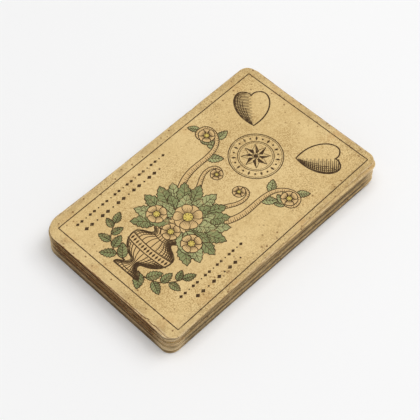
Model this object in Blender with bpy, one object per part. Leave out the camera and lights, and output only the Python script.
"""A pack of 32 German-suited playing cards, lying face up and squared by hand.

Metres, +Z up. The origin is the centre of the bottom card's underside, +Y runs along the cards towards the
top of the faces and +X to the right of them. Every card is a sheet of pasteboard of its own. It hangs on an
empty that marks the joint to the card beneath it, so the empties form the same chain as the joints.
"""

import math

import bmesh
import bpy

# Card blank
CARD_WIDTH = 0.0616
CARD_LENGTH = 0.0996
CARD_THICKNESS = 0.00027
CORNER_RADIUS = 0.0036
WORN_RADIUS = 0.0062
CORNER_SEGMENTS = 7
RIM_ROUND = 0.00006

# Stack: the air left between two cards, and how far from the bottom end the thumb holds them in a fan
AIR_GAP = 0.00005
THUMB_INSET = 0.0140

# How far cards stray when a pack is squared by hand
SIDE_STRAY = 0.00030
END_STRAY = 0.00030
TWIST_STRAY = math.radians(0.22)
MIDDLE_LEAN = 0.00050

# The upper cards were pushed aside by a thumb: the top one turned to the left, those under it to the right,
# so that they stick out at its upper right corner
TOP_SHIFT = (0.00085, 0.00038)
TOP_TWIST = math.radians(0.85)
UNDER_SHIFT = (0.00045, 0.00020)
UNDER_TWIST = math.radians(-0.40)
UNDER_CARDS = 5

# Identity of the cards, from the bottom of the pack to the top: the ten ranks next to the deuce
SUITS = ("acorns", "leaves", "bells", "hearts")
RANKS = ("seven", "eight", "nine", "unter", "ober", "king", "ten", "deuce")
CARD_COUNT = len(SUITS) * len(RANKS)

PITCH = CARD_THICKNESS + AIR_GAP
THUMB_Y = THUMB_INSET - CARD_LENGTH / 2

# Aged pasteboard: its colour, and the tones that follow one another through the pack
PAPER_COLOUR = (0.66, 0.48, 0.24)
PAPER_TONES = (1.0, 0.93, 1.06, 0.97, 1.03)
PAPER_ROUGHNESS = 0.85


def card_name(index):
    """Node name of a card, counted from the bottom."""
    suit = SUITS[index // len(RANKS)]
    rank = RANKS[index % len(RANKS)]
    return f"card_{index + 1:02d}_{suit}_{rank}"


def sway(index, step):
    """A repeatable value from -1 to 1 that jumps about from card to card."""
    return math.sin(step * index) * math.cos(0.37 * step * index)


def card_outline():
    """Points round a card, seen from its thumb point: the lower left corner is worn rounder than the others."""
    left, right = -CARD_WIDTH / 2, CARD_WIDTH / 2
    bottom, top = -THUMB_INSET, CARD_LENGTH - THUMB_INSET
    corners = ((left, bottom, WORN_RADIUS), (right, bottom, CORNER_RADIUS),
               (right, top, CORNER_RADIUS), (left, top, CORNER_RADIUS))
    points = []
    for quarter, (x, y, radius) in enumerate(corners):
        middle_x = x - math.copysign(radius, x)
        middle_y = y - math.copysign(radius, y)
        for step in range(CORNER_SEGMENTS + 1):
            angle = math.pi + (quarter + step / CORNER_SEGMENTS) * math.pi / 2
            points.append((middle_x + radius * math.cos(angle), middle_y + radius * math.sin(angle)))
    return points


def card_blank():
    """Sheet with rounded corners and softened rims, underside at z = 0, origin at the thumb point."""
    sheet = bmesh.new()
    sheet.faces.new([sheet.verts.new((x, y, 0)) for x, y in card_outline()])
    extruded = bmesh.ops.extrude_face_region(sheet, geom=sheet.faces[:])
    upper = [part for part in extruded["geom"] if isinstance(part, bmesh.types.BMVert)]
    bmesh.ops.translate(sheet, verts=upper, vec=(0, 0, CARD_THICKNESS))
    bmesh.ops.recalc_face_normals(sheet, faces=sheet.faces[:])
    rims = [edge for edge in sheet.edges if any(abs(face.normal.z) > 0.5 for face in edge.link_faces)]
    bmesh.ops.bevel(
        sheet,
        geom=rims,
        offset=RIM_ROUND,
        offset_type="OFFSET",
        segments=1,
        profile=0.5,
        affect="EDGES",
    )
    mesh = bpy.data.meshes.new("card_blank")
    sheet.to_mesh(mesh)
    sheet.free()
    return mesh


def paper_material(index):
    """Card stock, a little lighter or darker from card to card."""
    tone = PAPER_TONES[index % len(PAPER_TONES)]
    material = bpy.data.materials.new(f"card_stock_{index + 1:02d}")
    material.use_nodes = True
    shader = material.node_tree.nodes["Principled BSDF"]
    shader.inputs["Base Color"].default_value = [tone * part for part in PAPER_COLOUR] + [1]
    shader.inputs["Roughness"].default_value = PAPER_ROUGHNESS
    shader.inputs["Metallic"].default_value = 0
    return material


def placing(index):
    """Sideways shift, endways shift and twist of a card about its thumb point."""
    if index == 0:
        return 0, 0, 0
    from_top = CARD_COUNT - 1 - index
    if from_top == 0:
        return *TOP_SHIFT, TOP_TWIST
    askew = max(0, 1 - (from_top - 1) / UNDER_CARDS)
    lean = MIDDLE_LEAN * math.sin(math.pi * index / CARD_COUNT)
    side = askew * UNDER_SHIFT[0] + SIDE_STRAY * sway(index, 2.2) * (1 - askew)
    end = lean + askew * UNDER_SHIFT[1] + END_STRAY * sway(index, 3.1) * (1 - askew)
    twist = askew * UNDER_TWIST + TWIST_STRAY * sway(index, 1.7) * (1 - askew)
    return side, end, twist


def joint_empty(index, below):
    """Marker on the joint's axis, carried by the marker of the card beneath."""
    empty = bpy.data.objects.new(f"joint_{index + 1:02d}", None)
    empty.empty_display_size = CORNER_RADIUS
    bpy.context.scene.collection.objects.link(empty)
    if below is None:
        empty.location = (0, THUMB_Y, 0)
    else:
        empty.parent = below
        empty.location = (0, 0, PITCH)
    return empty


def add_card(index, blank, joint):
    """One card, laid on its joint marker with its own stray and twist."""
    mesh = blank.copy()
    mesh.materials.append(paper_material(index))
    card = bpy.data.objects.new(card_name(index), mesh)
    bpy.context.scene.collection.objects.link(card)
    side, end, twist = placing(index)
    card.parent = joint
    card.location = (side, end, 0)
    card.rotation_euler = (0, 0, twist)


def build_pack():
    for old in list(bpy.data.objects):
        bpy.data.objects.remove(old)
    blank = card_blank()
    joint = None
    for index in range(CARD_COUNT):
        joint = joint_empty(index, joint)
        add_card(index, blank, joint)
    bpy.data.meshes.remove(blank)


build_pack()
